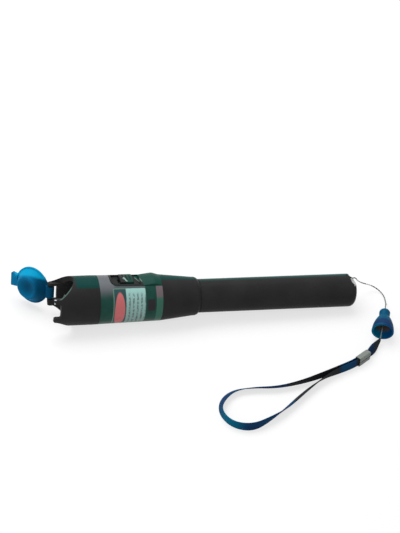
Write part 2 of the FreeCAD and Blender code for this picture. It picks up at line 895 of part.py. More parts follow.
def strap_ribbon():
    """Flat ribbon on edge, from the crimp round the wrist loop and back into the crimp."""
    section = on_edge(ribbon_route[0], ribbon_route[1] - ribbon_route[0], ribbon_t, ribbon_wide)
    return swept("ribbon", ribbon_route, section)


def strap_tab():
    """Short folded end of the strap, from the crimp to its point at the bell's mouth."""
    ahead = tab_route[-2] - tab_route[-1]
    wide_end = on_edge(tab_route[0], tab_route[0] - tab_route[1], tab_t, ribbon_wide)
    point = on_edge(tab_route[-1], ahead, tab_point_t, tab_point_wide)
    route, radii = rounded_route(tab_route)
    print("tab radii", [round(r, 1) for r in radii], "length", round(route.Length, 1))
    return route.makePipeShell([wide_end, point], True, False)


def strap_bell():
    """Bell-shaped cover over the string's knot, open at its mouth."""
    top = V(0, 0, bell_top_r)
    shoulder = V(bell_crown_x, 0, bell_neck_r)
    crown_mid = V(0.3 * bell_crown_x, 0, top.z + 0.72 * (shoulder.z - top.z))
    neck = V(bell_neck_x, 0, bell_neck_r - bell_pinch)
    mouth = V(bell_len, 0, bell_mouth_r)
    flare = (neck + mouth) * 0.5 + V(0, 0, bell_flare)
    inward = V(0, 0, -bell_wall)
    eye_in = V(bell_wall, 0, bell_eye_r)
    eye_out = V(0, 0, bell_eye_r)
    edges = [
        Part.LineSegment(eye_out, top).toShape(),
        Part.Arc(top, crown_mid, shoulder).toShape(),
        Part.LineSegment(shoulder, neck).toShape(),
        Part.Arc(neck, flare, mouth).toShape(),
        Part.LineSegment(mouth, mouth + inward).toShape(),
        Part.Arc(mouth + inward, flare + inward, neck + inward).toShape(),
        Part.LineSegment(neck + inward, shoulder + inward).toShape(),
        Part.LineSegment(shoulder + inward, eye_in).toShape(),
        Part.LineSegment(eye_in, eye_out).toShape(),
    ]
    bell = Part.Face(Part.Wire(edges)).revolve(ORIGIN, X_AXIS, 360)
    bell.Placement = FreeCAD.Placement(bell_top, FreeCAD.Rotation(X_AXIS, bell_mouth - bell_top))
    return bell


def ribbon_crimp():
    """Folded metal clip that holds both runs of the ribbon, with its seam on one side."""
    inner_half = ribbon_t + crimp_slack + crimp_fold
    inner_tall = ribbon_wide / 2 + seat_gap
    half = inner_half + crimp_t
    tall = inner_tall + crimp_t
    sleeve = block(0, crimp_len, half, -tall, tall)
    sleeve = sleeve.makeFillet(crimp_corner, [e for e in sleeve.Edges if abs(e.tangentAt(0).x) > 0.9])
    sleeve = sleeve.cut(block(-1, crimp_len + 1, inner_half, -inner_tall, inner_tall))
    seam = Part.makeBox(crimp_len + 2, half, crimp_seam, V(-1, inner_half / 2, -crimp_seam / 2))
    sleeve = sleeve.cut(seam)
    way = crimp_rear - crimp_front
    sleeve.Placement = FreeCAD.Placement(crimp_front, FreeCAD.Rotation(X_AXIS, way))
    return sleeve


def pen_pieces():
    """Every piece of the pen, laid on its side."""
    first = cells_start()
    pieces = {
        "head_shell": head_shell(),
        "wrap_label": wrap_label(),
        "switch_bezel": switch_bezel(),
        "power_knob": power_knob(),
        "switch_lever": switch_lever(),
        "switch_can": switch_can(),
        "switch_base": switch_base(),
        "nose_plate": nose_plate(),
        "ferrule_adapter": ferrule_adapter(),
        "ferrule_sleeve": ferrule_sleeve(),
        "adapter_nut": adapter_nut(),
        "laser_housing": laser_housing(),
        "lens_cell": lens_cell(),
        "focusing_lens": focusing_lens(),
        "diode_holder": diode_holder(),
        "laser_diode": laser_diode(),
        "circuit_board": circuit_board(),
        "driver_chip": driver_chip(),
        "chip_resistors": Part.makeCompound(chip_resistors()),
        "power_coil": power_coil(),
        "contact_carrier": contact_carrier(),
        "front_contact": front_contact(),
        "battery_cell_front": battery_cell(first),
        "battery_cell_rear": battery_cell(first + cell_len),
        "threaded_collar": threaded_collar(),
        "seal_ring": seal_ring(),
        "tail_tube": tail_tube(),
        "tail_spring": tail_spring(),
        "dust_cap": dust_cap(),
    }
    return {name: lay_down(shape) for name, shape in pieces.items()}


def strap_pieces():
    """The strap, drawn where it lies."""
    return {
        "strap_string": strap_string(),
        "strap_bell": strap_bell(),
        "strap_ribbon": strap_ribbon(),
        "strap_tab": strap_tab(),
        "ribbon_crimp": ribbon_crimp(),
    }


laid = pen_pieces()
box = Part.makeCompound(list(laid.values())).optimalBoundingBox(False, False)
home = V(-(box.XMin + box.XMax) / 2, -(box.YMin + box.YMax) / 2, -box.ZMin)
print("shift to the finished frame", [round(c, 3) for c in home])
print("pen size", [round(c, 2) for c in (box.XLength, box.YLength, box.ZLength)])

placed = {name: shape.translated(home) for name, shape in laid.items()}
placed.update(strap_pieces())
for name, shape in placed.items():
    shape.exportStep("parts/" + name + ".step")
    print(name, len(shape.Solids), shape.isValid(), round(shape.Volume, 1))
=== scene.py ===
# %% [markdown]
# This lesson dresses a fibre tester: a black pen with a horned nose, a hinged blue
# dust cap, a slide switch, and a wrist strap on a string.  The hard shapes come
# ready made as a fixed model, so the lesson is about finishes, the printed film,
# the soft strap and the light.

# %% Load the fixed model
import json
import math

import bmesh
import bpy
from mathutils import Matrix, Vector


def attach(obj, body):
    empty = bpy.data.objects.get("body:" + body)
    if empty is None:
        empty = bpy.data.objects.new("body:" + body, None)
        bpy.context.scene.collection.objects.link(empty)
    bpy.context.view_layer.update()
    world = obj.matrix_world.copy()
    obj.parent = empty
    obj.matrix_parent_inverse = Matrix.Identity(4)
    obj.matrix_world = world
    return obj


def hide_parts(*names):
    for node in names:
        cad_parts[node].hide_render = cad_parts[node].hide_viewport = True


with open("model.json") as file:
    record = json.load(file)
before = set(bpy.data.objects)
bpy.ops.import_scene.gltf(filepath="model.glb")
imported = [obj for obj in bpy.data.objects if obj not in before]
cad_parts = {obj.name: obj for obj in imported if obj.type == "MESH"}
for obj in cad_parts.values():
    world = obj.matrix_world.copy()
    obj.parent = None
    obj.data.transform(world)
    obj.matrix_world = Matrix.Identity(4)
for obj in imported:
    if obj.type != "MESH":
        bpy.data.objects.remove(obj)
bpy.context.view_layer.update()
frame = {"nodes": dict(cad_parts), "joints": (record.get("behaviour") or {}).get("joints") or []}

MM = 0.001

# %% [markdown]
# The camera is settled first, because the loose strap is laid out for its view.  It
# looks down on the pen from the front left through a long lens, so the pen keeps
# nearly the same width from end to end.

# %% Camera
CAMERA_PLACE = Vector((-0.1959, -0.6919, 0.5116))
CAMERA_RIGHT = Vector((0.970832, -0.224502, 0.084163))
CAMERA_UP = Vector((0.058756, 0.563103, 0.824295))
camera_data = bpy.data.cameras.new("camera")
camera_data.sensor_fit = "VERTICAL"
camera_data.sensor_height = 36.0
camera_data.lens = 110.0
camera_data.clip_start = 0.01
camera = bpy.data.objects.new("camera", camera_data)
camera_turn = Matrix((CAMERA_RIGHT, CAMERA_UP, CAMERA_RIGHT.cross(CAMERA_UP))).transposed()
camera.matrix_world = Matrix.Translation(CAMERA_PLACE) @ camera_turn.to_4x4()
bpy.context.scene.collection.objects.link(camera)
bpy.context.scene.camera = camera
bpy.context.scene.view_settings.view_transform = "Standard"
print("camera at", [round(c, 3) for c in camera.matrix_world.translation])

# %% [markdown]
# The pen lies on its side, a little rolled and tipped, so its own axis is no axis of
# the room.  A pattern that runs round the pen needs the pen's own directions.  The
# joints carry them: the tail is pulled off along the pen, and the cap turns on a bar
# that points the way the switch faces.

# %% The pen's own directions
joints = {joint["name"]: joint for joint in frame["joints"]}
along = Vector(joints["tail_pull"]["axis"])
out = Vector(joints["cap_hinge"]["axis"])
aside = out.cross(along)
HINGE_ALONG = 1.4 * MM
HINGE_ASIDE = 11.7 * MM
hinge = Vector(joints["cap_hinge"]["pos_m"])
nose = hinge - along * HINGE_ALONG - aside * HINGE_ASIDE
pen = Matrix((along, aside, out)).transposed().to_4x4()
pen.translation = nose
pen_turn = pen.to_euler("XYZ")
print("nose at", [round(c, 4) for c in nose], "turned", [round(math.degrees(a), 2) for a in pen_turn])

# %% [markdown]
# Node trees are built by small helpers, so that each finish below reads as a short
# list of steps.  Most helpers add one node, set its plain values and link the rest.

# %% Helpers for nodes


def link(tree, value, socket):
    """Joins an output to a socket, or sets the socket when the value is plain."""
    if isinstance(value, bpy.types.NodeSocket):
        tree.links.new(value, socket)
    else:
        socket.default_value = value


def maths(tree, kind, first, second=0.0):
    """One Math node, and its result."""
    node = tree.nodes.new("ShaderNodeMath")
    node.operation = kind
    link(tree, first, node.inputs[0])
    link(tree, second, node.inputs[1])
    return node.outputs[0]


def product(tree, first, *rest):
    """All of the values multiplied together."""
    for value in rest:
        first = maths(tree, "MULTIPLY", first, value)
    return first


def mix(tree, share, first, second):
    """One Mix node for colours, and its result."""
    node = tree.nodes.new("ShaderNodeMix")
    node.data_type = "RGBA"
    link(tree, share, node.inputs[0])
    link(tree, first, node.inputs[6])
    link(tree, second, node.inputs[7])
    return node.outputs[2]


def rise(tree, value, low, high):
    """Smooth step from 0 at low to 1 at high."""
    node = tree.nodes.new("ShaderNodeMapRange")
    node.interpolation_type = "SMOOTHSTEP"
    link(tree, value, node.inputs["Value"])
    link(tree, low, node.inputs["From Min"])
    link(tree, high, node.inputs["From Max"])
    return node.outputs["Result"]


def fall(tree, value, low, high):
    """Smooth step from 1 at low to 0 at high."""
    return maths(tree, "SUBTRACT", 1.0, rise(tree, value, low, high))


def noise(tree, place, scale, detail=2.0):
    """Soft noise between 0 and 1."""
    node = tree.nodes.new("ShaderNodeTexNoise")
    link(tree, place, node.inputs["Vector"])
    node.inputs["Scale"].default_value = scale
    node.inputs["Detail"].default_value = detail
    return node.outputs["Fac"]


def toned(colour, factor):
    """Opaque colour, darker or paler by a factor."""
    return tuple(part * factor for part in colour[:3]) + (1.0,)


def object_place(tree):
    """The place on the surface, in metres."""
    return tree.nodes.new("ShaderNodeTexCoord").outputs["Object"]


def parts_of(tree, vector):
    """X, Y and Z of a vector."""
    node = tree.nodes.new("ShaderNodeSeparateXYZ")
    tree.links.new(vector, node.inputs["Vector"])
    return node.outputs["X"], node.outputs["Y"], node.outputs["Z"]


def new_finish(name, **values):
    """Empty material with one Principled shader, and that shader's plain values."""
    finish = bpy.data.materials.new(name)
    finish.use_nodes = True
    shader = finish.node_tree.nodes["Principled BSDF"]
    for key, value in values.items():
        shader.inputs[key.replace("_", " ")].default_value = value
    return finish, finish.node_tree, shader


def paint(node, finish):
    """Gives a carried-over node one finish."""
    shape = frame["nodes"][node]
    shape.data.materials.clear()
    shape.data.materials.append(finish)


def place_group(tree, group):
    """Places a node group in a finish."""
    node = tree.nodes.new("ShaderNodeGroup")
    node.node_tree = group
    return node


print("helpers ready")

# %% [markdown]
# Moulded plastic is never perfectly even: the mould leaves a fine grain, and hands
# leave slightly shinier patches.  The same effect serves most of the hard pieces, so
# it is one group with its own strengths in each finish.

# %% The surface group
SURFACE_INPUTS = ("Grain Size", "Grain Depth", "Base Roughness", "Patches")
GRAIN_HEIGHT = 0.00006   # metres, at full depth
PATCH_SCALE = 70.0


def surface_group():
    """Fine grain and faint handling marks: a roughness, a patch mask and a normal."""
    group = bpy.data.node_groups.new("fine surface", "ShaderNodeTree")
    face = group.interface
    for name in SURFACE_INPUTS:
        face.new_socket(name, in_out="INPUT", socket_type="NodeSocketFloat")
    face.new_socket("Roughness", in_out="OUTPUT", socket_type="NodeSocketFloat")
    face.new_socket("Patch", in_out="OUTPUT", socket_type="NodeSocketFloat")
    face.new_socket("Normal", in_out="OUTPUT", socket_type="NodeSocketVector")
    given = group.nodes.new("NodeGroupInput")
    result = group.nodes.new("NodeGroupOutput")
    place = object_place(group)
    fine = group.nodes.new("ShaderNodeTexNoise")
    group.links.new(place, fine.inputs["Vector"])
    group.links.new(given.outputs["Grain Size"], fine.inputs["Scale"])
    fine.inputs["Detail"].default_value = 3.0
    bump = group.nodes.new("ShaderNodeBump")
    bump.inputs["Distance"].default_value = GRAIN_HEIGHT
    group.links.new(fine.outputs["Fac"], bump.inputs["Height"])
    group.links.new(given.outputs["Grain Depth"], bump.inputs["Strength"])
    patch = rise(group, noise(group, place, PATCH_SCALE, 3.0), 0.35, 0.65)
    swing = maths(group, "MULTIPLY", maths(group, "SUBTRACT", patch, 0.5), given.outputs["Patches"])
    rough = maths(group, "ADD", given.outputs["Base Roughness"], swing)
    group.links.new(rough, result.inputs["Roughness"])
    group.links.new(patch, result.inputs["Patch"])
    group.links.new(bump.outputs["Normal"], result.inputs["Normal"])
    return group


fine_surface = surface_group()


def add_surface(tree, shader, grain=2500.0, depth=0.05, rough=0.4, patches=0.1):
    """Places the surface group in a finish, feeds its shader and gives its patch mask."""
    node = place_group(tree, fine_surface)
    for name, value in zip(SURFACE_INPUTS, (grain, depth, rough, patches)):
        node.inputs[name].default_value = value
    tree.links.new(node.outputs["Roughness"], shader.inputs["Roughness"])
    tree.links.new(node.outputs["Normal"], shader.inputs["Normal"])
    return node.outputs["Patch"]


print("group", fine_surface.name)

# %% [markdown]
# Prints and colour zones on the pen are laid out by two lengths: how far along the
# pen, and how far round it from the switch.  A Mapping node turns the room's
# coordinates into the pen's, in millimetres, and the angle follows from them.  Five
# finishes use it, so it is a group as well.

# %% The pen coordinates group
FILM_R = 12.7


def pen_group():
    """Millimetres along the pen, across it and up, and degrees and millimetres round it."""
    group = bpy.data.node_groups.new("pen coordinates", "ShaderNodeTree")
    for name in ("Along", "Degrees", "Round", "Side", "Up"):
        group.interface.new_socket(name, in_out="OUTPUT", socket_type="NodeSocketFloat")
    result = group.nodes.new("NodeGroupOutput")
    mapping = group.nodes.new("ShaderNodeMapping")
    mapping.vector_type = "TEXTURE"
    mapping.inputs["Location"].default_value = nose
    mapping.inputs["Rotation"].default_value = pen_turn
    mapping.inputs["Scale"].default_value = (MM, MM, MM)
    group.links.new(object_place(group), mapping.inputs["Vector"])
    x, y, z = parts_of(group, mapping.outputs["Vector"])
    angle = maths(group, "ARCTAN2", maths(group, "MULTIPLY", y, -1.0), z)
    group.links.new(x, result.inputs["Along"])
    group.links.new(maths(group, "DEGREES", angle), result.inputs["Degrees"])
    group.links.new(maths(group, "MULTIPLY", angle, FILM_R), result.inputs["Round"])
    group.links.new(y, result.inputs["Side"])
    group.links.new(z, result.inputs["Up"])
    return group


pen_coordinates = pen_group()


def pen_lengths(tree, *names):
    """The named outputs of the pen coordinates group."""
    node = place_group(tree, pen_coordinates)
    return [node.outputs[name] for name in names]


print("group", pen_coordinates.name)

# %% [markdown]
# The head and the tail tube are near black, one moulded and one coated metal.  Along the side that faces up,
# a deep bottle-green sheen is painted into the colour, broad on the head and only a thin stripe on the tube.
# The painted sheen is mixed into the base colour with a zone that narrows along the pen.  On top of it, the
# head carries painted highlights on its upper bite's edge and on the near horn's corner, and the tube a
# painted highlight on the walls of its lanyard notch.

# %% Black body finishes
# Painted sheen: a green band painted along the upper side of the head and the tube.
SHEEN_GREEN = (0.004, 0.050, 0.044, 1.0)
SHEEN_MIDDLE = -12.0         # degrees from the switch, on the far side
SHEEN_ALONG = (24.0, 78.0)   # the painted sheen narrows between these lengths
SHEEN_HALF = (48.0, 15.0)    # its half width in degrees, at the head and at the tube
SHEEN_SOFT = (3.0, 4.0)      # its edge fades from this far inside to this far outside
SHEEN_RAGGED = 4.0           # degrees by which that edge wanders
SHEEN_FROM = 12.0            # the nose in front of this stays black
# Painted highlights: a pale line on the upper bite's edge and two pale glints on the near horn's corner.
EDGE_REACH = (11.45, 11.8)  # the upper bite's edge, measured from the pen's middle
EDGE_UP = (6.3, 11.0)
EDGE_HIGHLIGHT = (0.13, 0.215, 0.18, 1.0)
CORNER_GLINTS = ((0.6, -10.5, 6.0, 0.75), (0.1, -11.6, 4.5, 0.6))  # along, side, up and size
CORNER_GLINT = (0.60, 0.68, 0.68, 1.0)
# Painted highlight: the walls of the lanyard notch are painted pale.
NOTCH_FROM = 163.7          # the lanyard notch at the tail's end
NOTCH_DEEP = 8.65
NOTCH_HIGH = 5.6
NOTCH_HIGHLIGHT = (0.52, 0.53, 0.53, 1.0)
PATCH_LIFT = 1.2            # the rougher patches are paler by this factor


def far_from(tree, dx, dy):
    """Length of a flat vector."""
    square = maths(tree, "ADD", maths(tree, "MULTIPLY", dx, dx), maths(tree, "MULTIPLY", dy, dy))
    return maths(tree, "SQRT", square)


def painted_green_sheen(tree, base):
    """Base colour with a painted green sheen along the upper side."""
    x, degrees = pen_lengths(tree, "Along", "Degrees")
    stretch = tree.nodes.new("ShaderNodeMapRange")
    link(tree, x, stretch.inputs["Value"])
    link(tree, SHEEN_ALONG[0], stretch.inputs["From Min"])
    link(tree, SHEEN_ALONG[1], stretch.inputs["From Max"])
    link(tree, SHEEN_HALF[0], stretch.inputs["To Min"])
    link(tree, SHEEN_HALF[1], stretch.inputs["To Max"])
    half = stretch.outputs["Result"]
    inside = maths(tree, "SUBTRACT", half, SHEEN_SOFT[0])
    outside = maths(tree, "ADD", half, SHEEN_SOFT[1])
    off = maths(tree, "ABSOLUTE", maths(tree, "SUBTRACT", degrees, SHEEN_MIDDLE))
    ragged = maths(tree, "MULTIPLY", noise(tree, object_place(tree), 120.0), SHEEN_RAGGED)
    zone = fall(tree, maths(tree, "ADD", off, ragged), inside, outside)
    zone = maths(tree, "MULTIPLY", zone, rise(tree, x, SHEEN_FROM - 1.0, SHEEN_FROM + 1.0))
    return mix(tree, zone, base, SHEEN_GREEN)


def painted_edge_highlights(tree, colour):
    """Painted highlights on the near side: a pale line on the upper bite's edge and pale glints on the horn's
    corner.
    """
    along, side, up = pen_lengths(tree, "Along", "Side", "Up")
    reach = far_from(tree, along, side)
    line = product(
        tree,
        rise(tree, reach, EDGE_REACH[0] - 0.05, EDGE_REACH[0] + 0.05),
        fall(tree, reach, EDGE_REACH[1] - 0.1, EDGE_REACH[1] + 0.1),
        fall(tree, side, -0.5, 0.5),
        rise(tree, up, EDGE_UP[0] - 0.2, EDGE_UP[0] + 0.2),
        fall(tree, up, EDGE_UP[1] - 0.8, EDGE_UP[1] + 0.8),
    )
    colour = mix(tree, line, colour, EDGE_HIGHLIGHT)
    for place_x, place_y, place_z, size in CORNER_GLINTS:
        dx = maths(tree, "SUBTRACT", along, place_x)
        dy = maths(tree, "SUBTRACT", side, place_y)
        dz = maths(tree, "SUBTRACT", up, place_z)
        off = far_from(tree, far_from(tree, dx, dy), dz)
        colour = mix(tree, fall(tree, off, size - 0.3, size), colour, CORNER_GLINT)
    return colour


def painted_notch_highlight(tree, colour):
    """Painted highlight: pale colour on the walls of the lanyard notch."""
    along, side, up = pen_lengths(tree, "Along", "Side", "Up")
    notch_lit = product(
        tree,
        rise(tree, along, NOTCH_FROM - 0.1, NOTCH_FROM),
        fall(tree, far_from(tree, side, up), NOTCH_DEEP, NOTCH_DEEP + 0.1),
        rise(tree, up, NOTCH_HIGH - 0.2, NOTCH_HIGH),
    )
    return mix(tree, notch_lit, colour, NOTCH_HIGHLIGHT)


def body_finish(name, base, rough, depth, extra):
    """Near-black satin finish with the painted green sheen and one painted highlight on top."""
    finish, tree, shader = new_finish(name, Specular_IOR_Level=0.04)
    patch = add_surface(tree, shader, depth=depth, rough=rough, patches=0.06)
    colour = extra(tree, painted_green_sheen(tree, mix(tree, patch, base, toned(base, PATCH_LIFT))))
    tree.links.new(colour, shader.inputs["Base Color"])
    return finish


head_finish = body_finish("moulded head", (0.0250, 0.0250, 0.0250, 1.0), 0.42, 0.12, painted_edge_highlights)
tube_finish = body_finish("coated tube", (0.0250, 0.0250, 0.0253, 1.0), 0.38, 0.05, painted_notch_highlight)
paint("head_shell", head_finish)
paint("tail_tube", tube_finish)
print("black finishes", 2)

# %% [markdown]
# The film round the head is printed.  Its fields are simple shapes.  A field is a
# mask between 0 and 1, worked out from the two pen lengths, and the film's colour is
# mixed field by field.

# %% Shapes on the film


def past_half(tree, value, low, high, corner):
    """How far a value lies outside a span that is shortened by its corners."""
    off = maths(tree, "ABSOLUTE", maths(tree, "SUBTRACT", value, (low + high) / 2))
    return maths(tree, "MAXIMUM", maths(tree, "SUBTRACT", off, (high - low) / 2 - corner), 0.0)


def box_field(tree, x, arc, span_x, span_arc, corner=0.3, soft=0.12):
    """Rounded rectangle on the film."""
    far = far_from(tree, past_half(tree, x, *span_x, corner), past_half(tree, arc, *span_arc, corner))
    return fall(tree, far, corner - soft, corner + soft)


def oval_field(tree, x, arc, middle, half, soft=0.06):
    """Upright oval on the film."""
    dx = maths(tree, "DIVIDE", maths(tree, "SUBTRACT", x, middle[0]), half[0])
    dy = maths(tree, "DIVIDE", maths(tree, "SUBTRACT", arc, middle[1]), half[1])
    return fall(tree, far_from(tree, dx, dy), 1.0 - soft, 1.0 + soft)


print("film radius", FILM_R, "mm")

# %% Film finish
FILM_GREEN = ((0.007, 0.050, 0.038, 1.0), (0.011, 0.070, 0.052, 1.0))
FILM_GREY = (0.140, 0.150, 0.164, 1.0)
FILM_PALE = (0.36, 0.63, 0.59, 1.0)
FILM_PALE_SHADED = (0.27, 0.43, 0.39, 1.0)
FILM_ROSE = (0.66, 0.175, 0.180, 1.0)
FILM_EDGE = (0.15, 0.25, 0.20, 1.0)
FILM_SLATE = (0.030, 0.085, 0.090, 1.0)
FILM_BAND = (0.045, 0.150, 0.108, 1.0)
FILM_BLUSH = (0.16, 0.13, 0.14, 1.0)
FILM_DARK = (0.026, 0.023, 0.028, 1.0)
FILM_VEIL = (0.105, 0.095, 0.110, 1.0)
ROW_TURN = 2.9            # radians per millimetre, so rows of flecks stand 2.2 mm apart
VEIL_SHARE = 0.8
PANEL_X = (30.9, 48.3)
PANEL_ROUND = (8.3, 31.0)
PALE_X = (37.7, 48.1)
OVAL_MIDDLE = (34.5, 21.5)
OVAL_HALF = (2.75, 10.8)
SQUARE_X = (49.4, 53.3)
SQUARE_ROUND = (14.8, 21.4)
BAND_FROM = 54.0
GREY_TO = 31.0
GREY_ROUND = (7.0, 15.0)  # the grey shoulder fades between these lengths
LEDGE_ROUND = (5.5, 8.3)  # thin grey strip between the switch and the panel
LEDGE_SHARE = 0.6


def film_finish():
    """Printed film: green ground, grey shoulder and ledge, panel with painted shade on its pale field, oval,
    square and rear band.
    """
    finish, tree, shader = new_finish("printed film", Specular_IOR_Level=0.12)
    x, arc = pen_lengths(tree, "Along", "Round")
    place = object_place(tree)
    colour = mix(tree, rise(tree, noise(tree, place, 160.0), 0.3, 0.7), *FILM_GREEN)
    high = fall(tree, maths(tree, "ABSOLUTE", arc), *GREY_ROUND)
    front = fall(tree, x, GREY_TO, GREY_TO + 1.5)
    colour = mix(tree, maths(tree, "MULTIPLY", high, front), colour, FILM_GREY)
    ledge = box_field(tree, x, arc, (GREY_TO - 2.0, PANEL_X[1]), LEDGE_ROUND, 0.4)
    colour = mix(tree, maths(tree, "MULTIPLY", ledge, LEDGE_SHARE), colour, FILM_GREY)
    edge = box_field(tree, x, arc, PANEL_X, PANEL_ROUND, 0.6)
    colour = mix(tree, edge, colour, FILM_EDGE)
    inner_x = (PANEL_X[0] + 0.5, PANEL_X[1] - 0.3)
    inner_round = (PANEL_ROUND[0] + 0.5, PANEL_ROUND[1] - 0.5)
    colour = mix(tree, box_field(tree, x, arc, inner_x, inner_round, 0.4), colour, FILM_SLATE)
    # Painted shade: the pale field turns darker further round the pen.
    pale = mix(tree, rise(tree, arc, 9.0, 30.0), FILM_PALE, FILM_PALE_SHADED)
    rows = rise(tree, maths(tree, "SINE", maths(tree, "MULTIPLY", x, ROW_TURN)), -0.3, 0.7)
    flecks = rise(tree, noise(tree, place, 900.0), 0.35, 0.6)
    veil = product(tree, rows, flecks, rise(tree, arc, 10.0, 13.0), VEIL_SHARE)
    pale = mix(tree, veil, pale, FILM_VEIL)
    pale_round = (PANEL_ROUND[0] + 0.2, PANEL_ROUND[1] - 0.3)
    colour = mix(tree, box_field(tree, x, arc, PALE_X, pale_round, 0.3), colour, pale)
    colour = mix(tree, oval_field(tree, x, arc, OVAL_MIDDLE, OVAL_HALF), colour, FILM_ROSE)
    colour = mix(tree, box_field(tree, x, arc, SQUARE_X, SQUARE_ROUND), colour, FILM_DARK)
    band = rise(tree, x, BAND_FROM - 0.15, BAND_FROM + 0.15)
    low_band = rise(tree, arc, 13.0, 15.0)
    colour = mix(tree, band, colour, mix(tree, low_band, FILM_BLUSH, FILM_BAND))
    tree.links.new(colour, shader.inputs["Base Color"])
    add_surface(tree, shader, depth=0.03, rough=0.36, patches=0.08)
    return finish


paint("wrap_label", film_finish())
print("film painted")

# %% [markdown]
# Small parts take plain but real finishes: nickel on the adapter, fired ceramic in
# its bore, brass round the laser, green resist on the board.  One helper makes all of
# them but the lens's glass.

# %% Small part finishes


def part_finish(name, colour, rough, metal=0.0, depth=0.05, patches=0.1, **values):
    """Finish with fine grain and a faint change of tone."""
    finish, tree, shader = new_finish(name, Metallic=metal, **values)
    patch = add_surface(tree, shader, depth=depth, rough=rough, patches=patches)
    tree.links.new(mix(tree, patch, toned(colour, 0.8), toned(colour, 1.0)), shader.inputs["Base Color"])
    return finish


nickel = part_finish("turned nickel", (0.62, 0.60, 0.56), 0.22, metal=1.0)
ceramic = part_finish("fired ceramic", (0.86, 0.85, 0.81), 0.18)
brass = part_finish("turned brass", (0.72, 0.50, 0.22), 0.28, metal=1.0)
steel = part_finish("pressed steel", (0.55, 0.55, 0.54), 0.30, metal=1.0)
crimp_metal = part_finish("crimp metal", (0.21, 0.235, 0.22), 0.55, metal=0.35, depth=0.3, patches=0.35)
resist = part_finish("solder resist", (0.02, 0.16, 0.07), 0.35)
chip_black = part_finish("chip plastic", (0.02, 0.02, 0.02), 0.55)
dull_rubber = part_finish("seal rubber", (0.015, 0.015, 0.015), 0.7, Specular_IOR_Level=0.2)
plate_black = part_finish("plate plastic", (0.018, 0.018, 0.019), 0.5, Specular_IOR_Level=0.2)
cell_film = part_finish("cell jacket", (0.20, 0.21, 0.23), 0.25, Coat_Weight=0.5)
small_parts = {
    nickel: ("ferrule_adapter", "adapter_nut", "threaded_collar", "front_contact"),
    ceramic: ("ferrule_sleeve",),
    brass: ("laser_housing", "lens_cell", "diode_holder"),
    steel: ("switch_can", "laser_diode", "tail_spring"),
    crimp_metal: ("ribbon_crimp",),
    resist: ("circuit_board",),
    chip_black: ("driver_chip", "chip_resistors", "power_coil", "switch_base", "switch_lever"),
    dull_rubber: ("seal_ring",),
    plate_black: ("nose_plate", "contact_carrier"),
    cell_film: ("battery_cell_front", "battery_cell_rear"),
}
for finish, names in small_parts.items():
    for name in names:
        paint(name, finish)
lens_glass, _, _ = new_finish(
    "lens glass", Base_Color=(0.95, 1.0, 0.98, 1.0), Roughness=0.02, Transmission_Weight=1.0, IOR=1.5
)
paint("focusing_lens", lens_glass)
print("small parts painted", sum(len(names) for names in small_parts.values()) + 1)

# %% [markdown]
# The dust cap is soft blue rubber with a satin face, and the bell on the string is a harder, deeper blue
# moulding.  Rubber shows a broad, weak highlight, so its roughness is high and differs a little from patch to
# patch.  Both carry painted light and shade in their colour: the cap is painted lit above, at its rim and on
# its tab and shaded where it dishes, and the bell is painted darker on its right side and deep inside its
# mouth, with painted light on its inner wall.  These are laid out by how far a place lies along a few
# directions.

# %% Blue finishes
CAP_FROM_NOSE = Vector((-6.0, 20.8, 0.0))         # the cap's middle, in the pen's directions
CAP_MIDDLE = nose / MM + pen.to_3x3() @ CAP_FROM_NOSE
CAP_UP = Vector((0.2114, 0.5203, 0.8269))         # from the painted shaded half to the painted lit one
CAP_ACROSS = Vector((0.9708, -0.2245, 0.0842))    # from the tab to the hinge
# Painted light and shade on the cap: deep blue for the shaded dish, paler blues for its lit rim, lit upper
# half and lit tab.
CAP_SHADED = (0.0, 0.066, 0.150, 1.0)
CAP_RIM_LIT = (0.0, 0.185, 0.390, 1.0)
CAP_LIT = (0.0, 0.345, 0.610, 1.0)
CAP_TAB_LIT = (0.0, 0.130, 0.300, 1.0)
CAP_RIM_OFF = (3.5, 10.0)         # millimetres from the middle where the rim's painted light comes in
CAP_RIM_ACROSS = (-2.0, 4.0)
CAP_LIT_UP = (4.0, 6.0)
CAP_LIT_ACROSS = (-13.5, -8.5)
CAP_TAB_ACROSS = (-11.0, -9.5)
CAP_TAB_UP = (2.0, 5.0)
CAP_WAVE = 2.0                    # millimetres by which the painted lit half's edge wanders
CAP_BULGE = 0.012                 # how fast that edge curves away from the middle
BELL_TOP = Vector((103.5, -29.6, 9.0))
BELL_ALONG = (Vector((98.0, -43.7, 5.85)) - BELL_TOP).normalized()
BELL_LONG = 15.5
BELL_HOLLOW_FROM = 5.0
BELL_HOLLOW_R = (2.35, 5.5)   # middle of the wall, where the hollow starts and at the mouth
BELL_SWELL = 3.0
BELL_DOME = (0.0, 0.084, 0.175, 1.0)
# Painted shade: the bell's skirt is darker on its right side.
BELL_SKIRT = ((0.0, 0.085, 0.180, 1.0), (0.0, 0.042, 0.150, 1.0))   # lit left, and right with painted shade
BELL_SKIRT_ALONG = (13.0, 15.0)   # millimetres down the bell where each tone comes in
BELL_RIGHT = (-3.0, 3.5)
BELL_BAND = (0.008, 0.029, 0.105, 1.0)
BELL_BAND_FROM = (9.5, 11.5)
BELL_BAND_TO = (14.2, 15.0)
BELL_BAND_SHARE = 0.85
# Painted light on the bell's inner wall, darker on the right, and painted shade deep inside.
BELL_LIT = ((0.0, 0.175, 0.320, 1.0), (0.0, 0.095, 0.290, 1.0))
BELL_DEEP_SHADE = (0.105, 0.088, 0.070, 1.0)
BELL_DEEP_SHADE_ALONG = (10.0, 12.6)


def length_along(tree, middle, direction):
    """Millimetres from a place, measured along a direction."""
    dot = tree.nodes.new("ShaderNodeVectorMath")
    dot.operation = "DOT_PRODUCT"
    dot.inputs[1].default_value = direction / MM
    tree.links.new(object_place(tree), dot.inputs[0])
    return maths(tree, "SUBTRACT", dot.outputs["Value"], middle.dot(direction))


